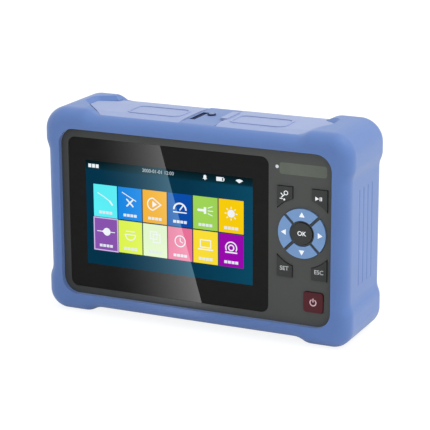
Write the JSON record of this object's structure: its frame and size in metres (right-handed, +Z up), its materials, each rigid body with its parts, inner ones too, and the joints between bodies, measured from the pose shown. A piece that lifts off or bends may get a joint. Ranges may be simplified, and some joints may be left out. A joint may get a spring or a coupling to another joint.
{
  "type": "optical time domain reflectometer",
  "caption": "Handheld fibre tester: wide colour display and ringed keypad in a rubber boot with corner bumpers, hinged port flaps on top and a fold-out stand behind.",
  "frame": {"origin": "middle of the underside of the rubber bumpers, on the surface that the instrument stands on", "axes": "+X to the right as the user faces the display, along the longest side; +Y to the back; +Z up"},
  "size_m": [0.196, 0.057, 0.125],
  "materials": {
    "boot_rubber": "soft matte thermoplastic rubber",
    "flap_rubber": "soft matte thermoplastic rubber, paler where it faces up",
    "panel_plastic": "fine spark-eroded texture",
    "case_plastic": "fine spark-eroded texture",
    "stand_plastic": "fine spark-eroded texture",
    "seal_rubber": "matte",
    "window_glass": "polished, black border behind",
    "display_metal": "satin",
    "flex_film": "smooth",
    "silicone": "matte",
    "circuit_board": "solder mask",
    "steel": "fine brushed",
    "white_lens": "smooth",
    "clear_lens": "polished",
    "port_plastic": "smooth",
    "nickel": "nickel plate",
    "module_metal": "bead blasted",
    "fibre_yellow": "smooth",
    "battery_wrap": "heat-shrink film",
    "key_blue": "matte silicone",
    "key_dark": "matte silicone",
    "key_red": "matte silicone"
  },
  "bodies": {
    "case": {"protective_boot": "boot_rubber", "front_housing": "panel_plastic", "rear_housing": "case_plastic", "case_gasket": "seal_rubber", "display_window": "window_glass", "lcd_module": "display_metal", "lcd_frame": "steel", "lcd_flex": "flex_film", "keypad_mat": "silicone", "keypad_board": "circuit_board", "keypad_switches": "steel", "status_led": "white_lens", "left_port_bay": "case_plastic", "left_flap_rod": "steel", "right_port_bay": "case_plastic", "right_flap_rod": "steel", "network_jack": "port_plastic", "usb_port": "steel", "dc_jack": "port_plastic", "otdr_port": "nickel", "power_meter_port": "nickel", "fault_locator_port": "nickel", "torch_lens": "clear_lens", "torch_bezel": "port_plastic", "torch_led": "white_lens", "main_board": "circuit_board", "processor_shield": "steel", "clock_battery": "steel", "buzzer": "port_plastic", "optical_module": "module_metal", "fibre_spool": "fibre_yellow", "battery_pack": "battery_wrap", "battery_contacts": "port_plastic", "battery_cover": "case_plastic", "kickstand_pins": "steel", "case_screws": "steel", "board_screws": "steel", "battery_cover_screws": "steel"},
    "left_flap": {"left_port_flap": "flap_rubber"},
    "right_flap": {"right_port_flap": "flap_rubber"},
    "stand": {"kickstand": "stand_plastic"},
    "right_button": {"right_key": "key_blue"},
    "up_button": {"up_key": "key_blue"},
    "left_button": {"left_key": "key_blue"},
    "down_button": {"down_key": "key_blue"},
    "enter_button": {"enter_key": "key_dark"},
    "search_button": {"search_key": "key_dark"},
    "run_button": {"run_key": "key_dark"},
    "setup_button": {"setup_key": "key_dark"},
    "escape_button": {"escape_key": "key_dark"},
    "power_button": {"power_key": "key_red"}
  },
  "joints": [
    {"name": "left_flap_hinge", "type": "hinge", "parent": "case", "child": "left_flap", "pos_m": [-0.0395, 0.0198, 0.1203], "axis": [-1, 0, 0], "range_deg": [0, 100]},
    {"name": "right_flap_hinge", "type": "hinge", "parent": "case", "child": "right_flap", "pos_m": [0.039, 0.0198, 0.1206], "axis": [-1, 0, 0], "range_deg": [0, 100]},
    {"name": "stand_hinge", "type": "hinge", "parent": "case", "child": "stand", "pos_m": [0, 0.0234, 0.1025], "axis": [1, 0, 0], "range_deg": [0, 70]},
    {"name": "right_press", "type": "slide", "parent": "case", "child": "right_button", "axis": [0, 1, 0], "range_m": [0, 0.0008], "stiffness_N_per_m": 700, "springref_m": -0.0005},
    {"name": "up_press", "type": "slide", "parent": "case", "child": "up_button", "axis": [0, 1, 0], "range_m": [0, 0.0008], "stiffness_N_per_m": 700, "springref_m": -0.0005},
    {"name": "left_press", "type": "slide", "parent": "case", "child": "left_button", "axis": [0, 1, 0], "range_m": [0, 0.0008], "stiffness_N_per_m": 700, "springref_m": -0.0005},
    {"name": "down_press", "type": "slide", "parent": "case", "child": "down_button", "axis": [0, 1, 0], "range_m": [0, 0.0008], "stiffness_N_per_m": 700, "springref_m": -0.0005},
    {"name": "enter_press", "type": "slide", "parent": "case", "child": "enter_button", "axis": [0, 1, 0], "range_m": [0, 0.0008], "stiffness_N_per_m": 700, "springref_m": -0.0005},
    {"name": "search_press", "type": "slide", "parent": "case", "child": "search_button", "axis": [0, 1, 0], "range_m": [0, 0.0008], "stiffness_N_per_m": 700, "springref_m": -0.0005},
    {"name": "run_press", "type": "slide", "parent": "case", "child": "run_button", "axis": [0, 1, 0], "range_m": [0, 0.0008], "stiffness_N_per_m": 700, "springref_m": -0.0005},
    {"name": "setup_press", "type": "slide", "parent": "case", "child": "setup_button", "axis": [0, 1, 0], "range_m": [0, 0.0008], "stiffness_N_per_m": 700, "springref_m": -0.0005},
    {"name": "escape_press", "type": "slide", "parent": "case", "child": "escape_button", "axis": [0, 1, 0], "range_m": [0, 0.0008], "stiffness_N_per_m": 700, "springref_m": -0.0005},
    {"name": "power_press", "type": "slide", "parent": "case", "child": "power_button", "axis": [0, 1, 0], "range_m": [0, 0.0008], "stiffness_N_per_m": 700, "springref_m": -0.0005}
  ]
}
